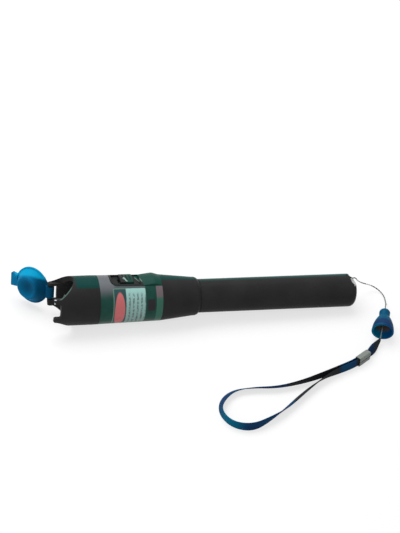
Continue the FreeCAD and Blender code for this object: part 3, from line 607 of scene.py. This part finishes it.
def length_off(tree, middle):
    """Millimetres from a place, in any direction."""
    gap = tree.nodes.new("ShaderNodeVectorMath")
    gap.operation = "DISTANCE"
    gap.inputs[1].default_value = middle * MM
    tree.links.new(object_place(tree), gap.inputs[0])
    return maths(tree, "DIVIDE", gap.outputs["Value"], MM)


def blue_finish(name, rough, grain_depth):
    """Blue rubber or plastic: matt, so that its own colour tells."""
    finish, tree, shader = new_finish(name, Specular_IOR_Level=0.06)
    add_surface(tree, shader, grain=1800.0, depth=grain_depth, rough=rough, patches=0.15)
    return finish, tree, shader


def cap_finish():
    """Cap rubber with painted light and shade: pale where lit above, deep blue as painted shade where it
    dishes, paler again as painted light at its rim and on the tab.
    """
    finish, tree, shader = blue_finish("cap rubber", 0.6, 0.10)
    up = length_along(tree, CAP_MIDDLE, CAP_UP)
    across = length_along(tree, CAP_MIDDLE, CAP_ACROSS)
    off = length_off(tree, CAP_MIDDLE)
    rim = product(tree, rise(tree, off, *CAP_RIM_OFF), fall(tree, across, *CAP_RIM_ACROSS))
    colour = mix(tree, rim, CAP_SHADED, CAP_RIM_LIT)
    wander = maths(tree, "MULTIPLY", noise(tree, object_place(tree), 180.0), CAP_WAVE)
    bulge = product(tree, across, across, CAP_BULGE)
    edge = maths(tree, "ADD", maths(tree, "ADD", up, wander), bulge)
    pale = product(tree, rise(tree, edge, *CAP_LIT_UP), rise(tree, across, *CAP_LIT_ACROSS))
    colour = mix(tree, pale, colour, CAP_LIT)
    tab = product(tree, fall(tree, across, *CAP_TAB_ACROSS), rise(tree, up, *CAP_TAB_UP))
    colour = mix(tree, tab, colour, CAP_TAB_LIT)
    tree.links.new(colour, shader.inputs["Base Color"])
    return finish


def bell_radius(tree, along, off):
    """Millimetres from the bell's own axis."""
    square = maths(tree, "SUBTRACT", maths(tree, "MULTIPLY", off, off), maths(tree, "MULTIPLY", along, along))
    return maths(tree, "SQRT", maths(tree, "MAXIMUM", square, 0.0))


def bell_wall(tree, along):
    """Radius of the middle of the bell's wall, which swells between top and mouth."""
    down = maths(tree, "SUBTRACT", along, BELL_HOLLOW_FROM)
    share = maths(tree, "DIVIDE", down, BELL_LONG - BELL_HOLLOW_FROM)
    swell = product(tree, maths(tree, "SUBTRACT", 1.0, share), share, BELL_SWELL)
    slope = maths(tree, "MULTIPLY", share, BELL_HOLLOW_R[1] - BELL_HOLLOW_R[0])
    return maths(tree, "ADD", maths(tree, "ADD", BELL_HOLLOW_R[0], slope), swell)


def bell_finish():
    """Bell plastic: blue dome, navy skirt with painted shade on its right, and a mouth with a painted lit
    inner wall and brown-black painted shade deep inside.
    """
    finish, tree, shader = blue_finish("bell plastic", 0.5, 0.05)
    along = length_along(tree, BELL_TOP, BELL_ALONG)
    radius = bell_radius(tree, along, length_off(tree, BELL_TOP))
    inside = fall(tree, maths(tree, "SUBTRACT", radius, bell_wall(tree, along)), -0.15, 0.15)
    inside = product(tree, inside, rise(tree, along, BELL_HOLLOW_FROM, BELL_HOLLOW_FROM + 1.0))
    mouth = BELL_TOP + BELL_ALONG * BELL_LONG
    right = rise(tree, length_along(tree, mouth, CAP_ACROSS), *BELL_RIGHT)
    outer = mix(tree, rise(tree, along, *BELL_SKIRT_ALONG), BELL_DOME, mix(tree, right, *BELL_SKIRT))
    band = product(
        tree, rise(tree, along, *BELL_BAND_FROM), fall(tree, along, *BELL_BAND_TO), BELL_BAND_SHARE
    )
    outer = mix(tree, band, outer, BELL_BAND)
    lit = mix(tree, right, *BELL_LIT)
    inner = mix(tree, fall(tree, along, *BELL_DEEP_SHADE_ALONG), lit, BELL_DEEP_SHADE)
    tree.links.new(mix(tree, inside, outer, inner), shader.inputs["Base Color"])
    return finish


paint("dust_cap", cap_finish())
paint("strap_bell", bell_finish())
print("blue finishes", 2)

# %% [markdown]
# The knob and its frame are the same plastic.  The knob has one pale line across it, a painted highlight, and
# the frame has a painted highlight on the edge where its recess ends and the hump begins; the rear of the
# knob and the hump carry the painted green sheen of the pen's upper side.  Both lines slant, so the length
# along the pen is sheared by the length round it before the masks are made.

# %% Knob and frame finishes
SWITCH_BLACK = (0.016, 0.019, 0.019, 1.0)
# Painted sheen and highlights: green on the knob's rear and on the hump, and pale lines on the knob and on
# the hump's edge.
KNOB_SHEEN_GREEN = (0.006, 0.048, 0.036, 1.0)
KNOB_SHEEN_FROM = 38.4
KNOB_LINE_X = (36.9, 37.8)
KNOB_LINE_ROUND = (0.2, 4.2)
KNOB_LINE_SLANT = 0.42
KNOB_LINE_HIGHLIGHT = (0.33, 0.46, 0.41, 1.0)
HUMP_SHEEN_GREEN = (0.006, 0.058, 0.042, 1.0)
HUMP_X = 45.85
HUMP_SLANT = 0.284
HUMP_EDGE_HIGHLIGHT = (0.15, 0.21, 0.18, 1.0)


def slanted(tree, x, arc, slant):
    """Length along the pen, sheared by the length round it."""
    return maths(tree, "SUBTRACT", x, maths(tree, "MULTIPLY", arc, slant))


def knob_finish():
    """Dark knob with a pale painted highlight line and a painted green sheen behind it."""
    finish, tree, shader = new_finish("knob plastic", Specular_IOR_Level=0.08)
    x, arc = pen_lengths(tree, "Along", "Round")
    green = rise(tree, x, KNOB_SHEEN_FROM, KNOB_SHEEN_FROM + 0.5)
    colour = mix(tree, green, SWITCH_BLACK, KNOB_SHEEN_GREEN)
    lean = slanted(tree, x, arc, KNOB_LINE_SLANT)
    line = box_field(tree, lean, arc, KNOB_LINE_X, KNOB_LINE_ROUND, 0.1, 0.08)
    colour = mix(tree, line, colour, KNOB_LINE_HIGHLIGHT)
    tree.links.new(colour, shader.inputs["Base Color"])
    add_surface(tree, shader, depth=0.08, rough=0.4)
    return finish


def frame_finish():
    """Black frame with a painted highlight on its recess's rear edge and a painted green sheen on the hump
    behind it.
    """
    finish, tree, shader = new_finish("switch plastic", Specular_IOR_Level=0.08)
    x, arc = pen_lengths(tree, "Along", "Round")
    lean = slanted(tree, x, arc, HUMP_SLANT)
    colour = mix(tree, rise(tree, lean, HUMP_X - 0.3, HUMP_X + 0.3), SWITCH_BLACK, HUMP_SHEEN_GREEN)
    edge = fall(tree, maths(tree, "ABSOLUTE", maths(tree, "SUBTRACT", lean, HUMP_X)), 0.2, 0.4)
    edge = maths(tree, "MULTIPLY", edge, fall(tree, maths(tree, "ABSOLUTE", arc), 3.9, 4.4))
    colour = mix(tree, edge, colour, HUMP_EDGE_HIGHLIGHT)
    tree.links.new(colour, shader.inputs["Base Color"])
    add_surface(tree, shader, depth=0.10, rough=0.45)
    return finish


paint("power_knob", knob_finish())
paint("switch_bezel", frame_finish())
print("switch painted", 2)

# %% [markdown]
# A cord is settled as a length with a route before it is drawn.  Its line is one
# smooth spline through the open air and along the floor, and every strand or tape on
# it follows that same line.

# %% Helpers for cords


def route_curve(name, points, leans=None, sizes=None):
    """Open NURBS spline with the route's points, in millimetres, as its control points."""
    data = bpy.data.curves.new(name, "CURVE")
    data.dimensions = "3D"
    data.twist_mode = "Z_UP"
    spline = data.splines.new("NURBS")
    spline.points.add(len(points) - 1)
    for k, (spot, place) in enumerate(zip(spline.points, points)):
        spot.co = (place[0] * MM, place[1] * MM, place[2] * MM, 1.0)
        spot.tilt = -math.radians(leans[k]) if leans else 0.0
        spot.radius = sizes[k] if sizes else 1.0
    spline.order_u = 3
    spline.use_endpoint_u = True
    spline.resolution_u = 8
    shape = bpy.data.objects.new(name, data)
    bpy.context.scene.collection.objects.link(shape)
    return shape


def route_points(shape):
    """Points along a route's own spline, read from it while it has no thickness."""
    bpy.context.view_layer.update()
    mesh = bpy.data.meshes.new_from_object(shape)
    places = [vertex.co.copy() for vertex in mesh.vertices]
    bpy.data.meshes.remove(mesh)
    return places


def keep_mesh(name, mesh, finish):
    """Object for a finished mesh, smooth, with one finish."""
    piece = bpy.data.objects.new(name, mesh)
    bpy.context.scene.collection.objects.link(piece)
    mesh.materials.clear()
    mesh.materials.append(finish)
    mesh.shade_smooth()
    return piece


def length_of(places):
    """Length of a run of places, in metres."""
    return sum((b - a).length for a, b in zip(places, places[1:]))


def dress(piece, node):
    """Lets a piece of the strap stand for its node, and ride with the tail."""
    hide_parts(node)
    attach(piece, "tail")


print("cord helpers ready")

# %% [markdown]
# The string is doubled: two thin strands laid round each other.  Each strand is a
# round curve whose centre circles the string's own line.

# %% The string's line
STRING_ROUTE = [
    (87.99, -7.34, 17.83), (90.63, -7.63, 15.79), (93.5, -5.4, 14.8), (96.2, -3.2, 10.7),
    (100.8, -0.2, 6.7), (107.2, 2.3, 3.1), (111.2, -0.6, 1.2), (112.2, -6.0, 0.9),
    (110.4, -13.6, 1.8), (107.5, -20.9, 6.2), (105.2, -25.2, 9.9), (101.0, -36.0, 7.6),
    (96.55, -45.65, 2.75),
]
STRAND_R = 0.19
STRAND_LEAN = 0.17
TWISTS_PER_M = 300.0
string_line = route_curve("string line", STRING_ROUTE)
string_places = route_points(string_line)
print("string spline", round(length_of(string_places) * 1000, 1), "mm")

# %% String finish and strands
STRING_DULL = ((0.09, 0.095, 0.095, 1.0), (0.20, 0.21, 0.21, 1.0))   # ground and fleck
STRING_BRIGHT = (0.72, 0.74, 0.74, 1.0)
STRING_SHADE = (0.030, 0.032, 0.032, 1.0)
STRING_GREY = (0.30, 0.40, 0.46, 1.0)
BRIGHT_X = ((94.6, 98.6), (102.8, 106.8))   # the two bright stretches
BRIGHT_Y = (-9.0, -8.0)
STRING_SHADE_X = (92.5, 94.0)
STRING_GREY_Y = (-41.5, -39.5)


def between(tree, value, low, high, soft=0.3):
    """1 between two limits, with soft ends."""
    return product(
        tree, rise(tree, value, low - soft, low + soft), fall(tree, value, high - soft, high + soft)
    )


def string_finish():
    """Braided string: painted shade where it leaves the tail, then bright with a dull stretch, then grey."""
    finish, tree, shader = new_finish("braided string", Roughness=0.6, Specular_IOR_Level=0.3)
    place = object_place(tree)
    x, y, _ = parts_of(tree, place)
    x = maths(tree, "DIVIDE", x, MM)
    y = maths(tree, "DIVIDE", y, MM)
    fleck = rise(tree, noise(tree, place, 1500.0, 2.0), 0.42, 0.6)
    bright = maths(tree, "MAXIMUM", *(between(tree, x, *span) for span in BRIGHT_X))
    bright = maths(tree, "MULTIPLY", bright, rise(tree, y, *BRIGHT_Y))
    colour = mix(tree, bright, mix(tree, fleck, *STRING_DULL), STRING_BRIGHT)
    # Painted shade: the string turns dark where it leaves the tail.
    colour = mix(tree, fall(tree, x, *STRING_SHADE_X), colour, STRING_SHADE)
    colour = mix(tree, fall(tree, y, *STRING_GREY_Y), colour, STRING_GREY)
    tree.links.new(colour, shader.inputs["Base Color"])
    return finish


def strand_points(places, start_angle):
    """Places of one strand round the string's line."""
    spots = []
    run = 0.0
    for k, place in enumerate(places):
        ahead = (places[min(k + 1, len(places) - 1)] - places[max(k - 1, 0)]).normalized()
        side = ahead.cross(Vector((0, 0, 1))).normalized()
        lift = side.cross(ahead)
        turn = start_angle + 2 * math.pi * TWISTS_PER_M * run
        spots.append(place + (side * math.cos(turn) + lift * math.sin(turn)) * STRAND_LEAN * MM)
        if k + 1 < len(places):
            run += (places[k + 1] - place).length
    return spots


def finer(places, parts):
    """The same line with every step divided evenly."""
    fine = []
    for a, b in zip(places, places[1:]):
        fine += [a.lerp(b, k / parts) for k in range(parts)]
    return fine + [places[-1]]


def strands(name, places):
    """Two strands as one mesh."""
    data = bpy.data.curves.new(name, "CURVE")
    data.dimensions = "3D"
    data.bevel_depth = STRAND_R * MM
    data.bevel_resolution = 2
    data.use_fill_caps = True
    for start_angle in (0.0, math.pi):
        spots = strand_points(finer(places, 4), start_angle)
        spline = data.splines.new("POLY")
        spline.points.add(len(spots) - 1)
        for spot, place in zip(spline.points, spots):
            spot.co = place.to_4d()
    shape = bpy.data.objects.new(name + " curve", data)
    bpy.context.scene.collection.objects.link(shape)
    bpy.context.view_layer.update()
    mesh = bpy.data.meshes.new_from_object(shape)
    bpy.data.objects.remove(shape)
    return mesh


string = keep_mesh("string_strands", strands("strands", string_places), string_finish())
bpy.data.objects.remove(string_line)
dress(string, "strap_string")
print("string faces", len(string.data.polygons))

# %% [markdown]
# The ribbon is a woven tape that stands on edge and twists as it goes round the wrist
# loop: it leans over the loop's inside on the far run, stands up round the end, and
# leans out on the near run.  Each point of its route has that lean in degrees, which
# is the spline's own tilt, and stands as high as half the leaning tape.

# %% The ribbon's line
RIBBON_WIDE = 4.6
RIBBON_THICK = 0.5
RIBBON_FOOT = 0.32   # added height, so that the tape's rounded edge clears the floor
RIBBON_ROUTE = [
    (83.7, -58.6, 0), (76.9, -63.4, 0), (67.8, -67.5, 0), (56.3, -72.2, 6),
    (43.4, -76.4, 24), (30.4, -78.5, 38), (18.6, -76.9, 48), (7.9, -77.6, 52), (0.2, -84.6, 50),
    (-3.4, -95.1, 0), (0.4, -105.0, -8), (9.9, -108.4, 8), (19.9, -103.3, -14), (30.6, -95.5, -42),
    (44.0, -83.2, -46), (56.9, -73.5, -30), (68.4, -68.7, 0), (77.8, -64.6, 0), (84.5, -59.8, 0),
]


def leaning_points(route, wide):
    """Route points with the height at which a tape that leans just clears the floor."""
    return [(x, y, wide / 2 * math.cos(math.radians(lean)) + RIBBON_FOOT) for x, y, lean in route]


ribbon_leans = [lean for _, _, lean in RIBBON_ROUTE]
ribbon_line = route_curve("ribbon line", leaning_points(RIBBON_ROUTE, RIBBON_WIDE), ribbon_leans)
ribbon_places = route_points(ribbon_line)
print("ribbon spline", round(length_of(ribbon_places) * 1000, 1), "mm")

# %% Woven tape


def weave_group():
    """Ribs of a woven tape, as a mask and a normal."""
    group = bpy.data.node_groups.new("weave", "ShaderNodeTree")
    group.interface.new_socket("Rib", in_out="OUTPUT", socket_type="NodeSocketFloat")
    group.interface.new_socket("Normal", in_out="OUTPUT", socket_type="NodeSocketVector")
    result = group.nodes.new("NodeGroupOutput")
    wave = group.nodes.new("ShaderNodeTexWave")
    wave.inputs["Scale"].default_value = 420.0
    wave.inputs["Distortion"].default_value = 1.5
    group.links.new(object_place(group), wave.inputs["Vector"])
    bump = group.nodes.new("ShaderNodeBump")
    bump.inputs["Distance"].default_value = 0.0001
    bump.inputs["Strength"].default_value = 0.4
    group.links.new(wave.outputs["Fac"], bump.inputs["Height"])
    group.links.new(wave.outputs["Fac"], result.inputs["Rib"])
    group.links.new(bump.outputs["Normal"], result.inputs["Normal"])
    return group


weave = weave_group()
TAPE_NAVY = ((0.005, 0.036, 0.120, 1.0), (0.003, 0.060, 0.150, 1.0))   # ground and drift
TAPE_TEAL = (0.0, 0.150, 0.270, 1.0)
TAPE_BLACK = (0.018, 0.020, 0.022, 1.0)
TAPE_RIB = (0.008, 0.016, 0.030, 1.0)
TEAL_Y = (-100.0 * MM, -90.0 * MM)   # the teal fades out between these places
TEAL_X = (-1.0 * MM, 9.0 * MM)
BLACK_X = (37.0, 68.0)      # both runs are black here
BLACK_END_X = 78.0          # and from here to the crimp


def ribbon_finish():
    """Woven tape, navy on the far run and teal on the near one, with black stretches."""
    finish, tree, shader = new_finish("woven ribbon", Roughness=0.75, Specular_IOR_Level=0.06)
    node = place_group(tree, weave)
    place = object_place(tree)
    x, y, _ = parts_of(tree, place)
    near = product(tree, fall(tree, y, *TEAL_Y), fall(tree, x, *TEAL_X))
    tone = mix(tree, rise(tree, noise(tree, place, 90.0), 0.35, 0.65), *TAPE_NAVY)
    colour = mix(tree, near, tone, TAPE_TEAL)
    ragged = maths(tree, "ADD", x, maths(tree, "MULTIPLY", noise(tree, place, 300.0), 2.0 * MM))
    middle = (BLACK_X[0] + BLACK_X[1]) / 2 * MM
    half = (BLACK_X[1] - BLACK_X[0]) / 2 * MM
    off = maths(tree, "ABSOLUTE", maths(tree, "SUBTRACT", ragged, middle))
    black = fall(tree, off, half - 1.5 * MM, half + 1.5 * MM)
    black = maths(tree, "MAXIMUM", black, rise(tree, ragged, (BLACK_END_X - 1) * MM, (BLACK_END_X + 1) * MM))
    colour = mix(tree, black, colour, TAPE_BLACK)
    ribs = maths(tree, "MULTIPLY", node.outputs["Rib"], 0.25)
    tree.links.new(mix(tree, ribs, colour, TAPE_RIB), shader.inputs["Base Color"])
    tree.links.new(node.outputs["Normal"], shader.inputs["Normal"])
    return finish


def tape_mesh(shape, wide, thick):
    """A tape's mesh, from the route's own spline given a width and a thickness."""
    shape.data.extrude = (wide - thick) / 2 * MM
    shape.data.bevel_depth = thick / 2 * MM
    shape.data.bevel_resolution = 2
    shape.data.use_fill_caps = True
    bpy.context.view_layer.update()
    mesh = bpy.data.meshes.new_from_object(shape)
    bpy.data.objects.remove(shape)
    return mesh


ribbon = keep_mesh("woven_ribbon", tape_mesh(ribbon_line, RIBBON_WIDE, RIBBON_THICK), ribbon_finish())
dress(ribbon, "strap_ribbon")
print("ribbon faces", len(ribbon.data.polygons))

# %% [markdown]
# Between the crimp and the bell the strap ends in a short folded tab.  It is the same
# weave in black, doubled and drawn to a point where the string holds it, so its
# spline carries a radius that shrinks towards the bell, and a lean like the ribbon's.

# %% The folded tab
TAB_ROUTE = [(84.6, -58.8, 2.6), (88.4, -55.5, 3.0), (92.0, -51.4, 2.7), (96.3, -46.2, 2.5)]
TAB_SIZES = (0.95, 1.2, 1.0, 0.45)
TAB_LEANS = (0, 28, 26, 10)
TAB_WIDE = 4.5
TAB_THICK = 1.5
TAB_NAVY = (0.006, 0.026, 0.075, 1.0)
TAB_NAVY_X = (89.0 * MM, 91.5 * MM)
TAB_RIB = (0.008, 0.008, 0.010, 1.0)


def tab_finish():
    """Black woven tape with a navy end in the crimp."""
    finish, tree, shader = new_finish("woven tab", Roughness=0.75, Specular_IOR_Level=0.06)
    node = place_group(tree, weave)
    x, _, _ = parts_of(tree, object_place(tree))
    colour = mix(tree, fall(tree, x, *TAB_NAVY_X), TAPE_BLACK, TAB_NAVY)
    ribs = maths(tree, "MULTIPLY", node.outputs["Rib"], 0.3)
    tree.links.new(mix(tree, ribs, colour, TAB_RIB), shader.inputs["Base Color"])
    tree.links.new(node.outputs["Normal"], shader.inputs["Normal"])
    return finish


tab_line = route_curve("tab line", TAB_ROUTE, TAB_LEANS, TAB_SIZES)
tab = keep_mesh("folded_tab", tape_mesh(tab_line, TAB_WIDE, TAB_THICK), tab_finish())
dress(tab, "strap_tab")
print("tab faces", len(tab.data.polygons))

print("cords declared", 2)

# %% [markdown]
# The light is a plain studio: a wide soft lamp above and behind, a weak one in
# front, and a pale floor.  Light Path tells the floor and the world whether a ray
# comes from the camera, a reflection or glass, so that both look white there while
# they give the object only a plain level of light.  Near the object most of the
# floor's white is its own and the rest is lamp light, so a faint shadow stays.
# Farther out all of it is its own, so the floor stays close to white at a low view.

# %% Floor and world


def seen_directly(tree):
    """1 for rays from the camera, from reflections and through glass, else 0."""
    path = tree.nodes.new("ShaderNodeLightPath")
    seen = maths(tree, "MAXIMUM", path.outputs["Is Camera Ray"], path.outputs["Is Glossy Ray"])
    return maths(tree, "MAXIMUM", seen, path.outputs["Is Transmission Ray"])


BLACK = (0.0, 0.0, 0.0, 1.0)
WHITE = (1.0, 1.0, 1.0, 1.0)
FLOOR_DULL = (0.62, 0.62, 0.62, 1.0)
FLOOR_HALF = 6.0          # metres
FLOOR_SHARE = 0.68        # part of the floor's white that is its own near the object
FLOOR_FAR = (0.22, 0.55)  # between these radii, in metres, all of it becomes its own
WORLD_LIGHT = 0.42


def floor_finish():
    """Floor that looks white but gives back a duller light, with a faint shadow."""
    finish, tree, shader = new_finish("floor", Roughness=1.0, Specular_IOR_Level=0.0)
    seen = seen_directly(tree)
    x, y, _ = parts_of(tree, object_place(tree))
    far = rise(tree, far_from(tree, x, y), *FLOOR_FAR)
    own = maths(tree, "MAXIMUM", far, FLOOR_SHARE)
    lit = mix(tree, maths(tree, "SUBTRACT", 1.0, own), BLACK, WHITE)
    tree.links.new(mix(tree, seen, FLOOR_DULL, lit), shader.inputs["Base Color"])
    glow = mix(tree, maths(tree, "MULTIPLY", own, seen), BLACK, WHITE)
    tree.links.new(glow, shader.inputs["Emission Color"])
    shader.inputs["Emission Strength"].default_value = 1.0
    return finish


floor_mesh = bpy.data.meshes.new("floor")
floor_shape = bmesh.new()
bmesh.ops.create_grid(floor_shape, x_segments=1, y_segments=1, size=FLOOR_HALF)
floor_shape.to_mesh(floor_mesh)
floor_shape.free()
floor = keep_mesh("floor", floor_mesh, floor_finish())
world = bpy.data.worlds.new("studio")
bpy.context.scene.world = world
world.use_nodes = True
backdrop = world.node_tree.nodes["Background"]
backdrop.inputs["Color"].default_value = WHITE
brightness = maths(world.node_tree, "MAXIMUM", seen_directly(world.node_tree), WORLD_LIGHT)
world.node_tree.links.new(brightness, backdrop.inputs["Strength"])
print("floor", [round(side, 1) for side in floor.dimensions])

# %% Lamps


def lamp(name, place, target, size, power):
    """Rectangular soft lamp that faces a target."""
    data = bpy.data.lights.new(name, "AREA")
    data.shape = "RECTANGLE"
    data.size, data.size_y = size
    data.energy = power
    shape = bpy.data.objects.new(name, data)
    shape.location = place
    shape.rotation_euler = (Vector(target) - Vector(place)).to_track_quat("-Z", "Y").to_euler()
    bpy.context.scene.collection.objects.link(shape)
    return shape


lamp("key", (-0.25, 0.45, 1.0), (0.0, -0.02, 0.0), (1.2, 0.8), 11.0)
lamp("front", (-0.5, -0.9, 0.5), (0.0, 0.0, 0.0), (0.8, 0.8), 2.0)
print("lamps", 2)
